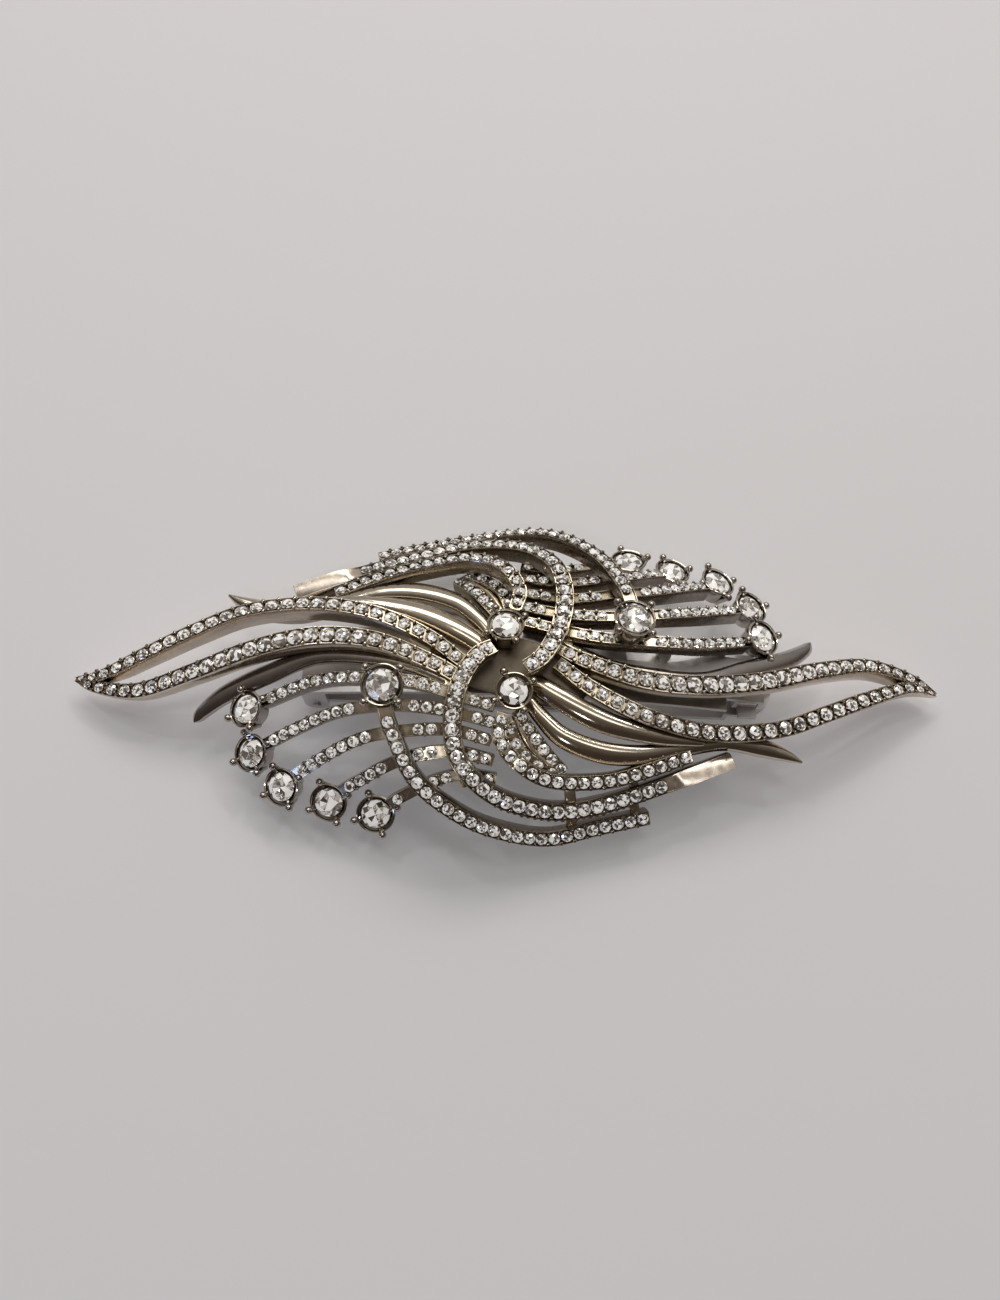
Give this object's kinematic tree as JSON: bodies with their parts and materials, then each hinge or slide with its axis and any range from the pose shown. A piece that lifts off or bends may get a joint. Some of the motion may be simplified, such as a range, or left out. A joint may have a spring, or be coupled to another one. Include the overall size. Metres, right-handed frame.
{
  "type": "rhinestone hair clip",
  "caption": "Openwork hair barrette: stone-set wings, fans and crescents swirling around the centre, on a sprung clasp with a swing arm and squeeze catch.",
  "frame": {"origin": "the point of the rest plane under the ornament's centre, which is the axis of its half-turn symmetry", "axes": "+X along the ornament towards the catch end of the clasp, +Z away from the hair, +Y across"},
  "size_m": [0.1162, 0.0438, 0.0172],
  "materials": {
    "stone_castings": "bright nickel plate, worn a little yellow near the centre",
    "plain_blades": "polished nickel plate",
    "settings": "polished nickel plate, darkened in the corners",
    "back_casting": "plated casting left dull on the back",
    "pave_stones": "clear foil-backed glass stones",
    "large_stones": "clear foil-backed glass stones",
    "clasp_steel": "stamped nickel-plated steel",
    "spring_steel": "polished spring strip",
    "pins": "drawn wire"
  },
  "bodies": {
    "root": {"wing_frame_left": "stone_castings", "wing_frame_right": "stone_castings", "wing_outer_stones_left": "pave_stones", "wing_outer_stones_right": "pave_stones", "wing_inner_stones_left": "pave_stones", "wing_inner_stones_right": "pave_stones", "sweep_blade_left": "plain_blades", "sweep_blade_right": "plain_blades", "edge_ribbon_left": "plain_blades", "edge_ribbon_right": "plain_blades", "crossing_blade_left": "plain_blades", "crossing_blade_right": "plain_blades", "fan_frame_left": "stone_castings", "fan_frame_right": "stone_castings", "fan_long_bar_stones_left": "pave_stones", "fan_long_bar_stones_right": "pave_stones", "fan_short_bar_stones_left": "pave_stones", "fan_short_bar_stones_right": "pave_stones", "end_settings_left": "settings", "end_settings_right": "settings", "end_stones_left": "large_stones", "end_stones_right": "large_stones", "raised_setting_left": "settings", "raised_setting_right": "settings", "raised_stone_left": "large_stones", "raised_stone_right": "large_stones", "outer_crescent_front": "stone_castings", "outer_crescent_rear": "stone_castings", "middle_crescent_front": "stone_castings", "middle_crescent_rear": "stone_castings", "inner_crescent_front": "stone_castings", "inner_crescent_rear": "stone_castings", "outer_crescent_stones_front": "pave_stones", "outer_crescent_stones_rear": "pave_stones", "middle_crescent_stones_front": "pave_stones", "middle_crescent_stones_rear": "pave_stones", "inner_crescent_stones_front": "pave_stones", "inner_crescent_stones_rear": "pave_stones", "crescent_ties_front": "back_casting", "crescent_ties_rear": "back_casting", "petal_front": "stone_castings", "petal_rear": "stone_castings", "petal_stones_front": "pave_stones", "petal_stones_rear": "pave_stones", "centre_setting_front": "settings", "centre_setting_rear": "settings", "centre_stone_front": "large_stones", "centre_stone_rear": "large_stones", "hub_plate": "back_casting", "clasp_pegs": "back_casting", "base_plate": "clasp_steel", "hinge_pin": "pins", "catch_pins": "pins"},
    "arm": {"swing_arm": "clasp_steel"},
    "bow": {"tension_bow": "spring_steel"},
    "catch_front": {"catch_lever_front": "clasp_steel"},
    "catch_rear": {"catch_lever_rear": "clasp_steel"}
  },
  "joints": [
    {"name": "arm_hinge", "type": "hinge", "parent": "root", "child": "arm", "pos_m": [-0.0255, 0.0012, 0.0016], "axis": [0, 1, 0], "range_deg": [0, 100]},
    {"name": "catch_front_pivot", "type": "hinge", "parent": "root", "child": "catch_front", "pos_m": [0.0318, -0.0008, 0.0045], "axis": [1, 0, 0], "range_deg": [0, 8], "stiffness_Nm_per_rad": 0.05},
    {"name": "catch_rear_pivot", "type": "hinge", "parent": "root", "child": "catch_rear", "pos_m": [0.0318, 0.0032, 0.0045], "axis": [-1, 0, 0], "range_deg": [0, 8], "stiffness_Nm_per_rad": 0.05},
    {"name": "bow_press", "type": "slide", "parent": "root", "child": "bow", "axis": [0, 0, 1], "range_m": [0, 0.0006], "stiffness_N_per_m": 400, "deforming": ["tension_bow"]}
  ]
}
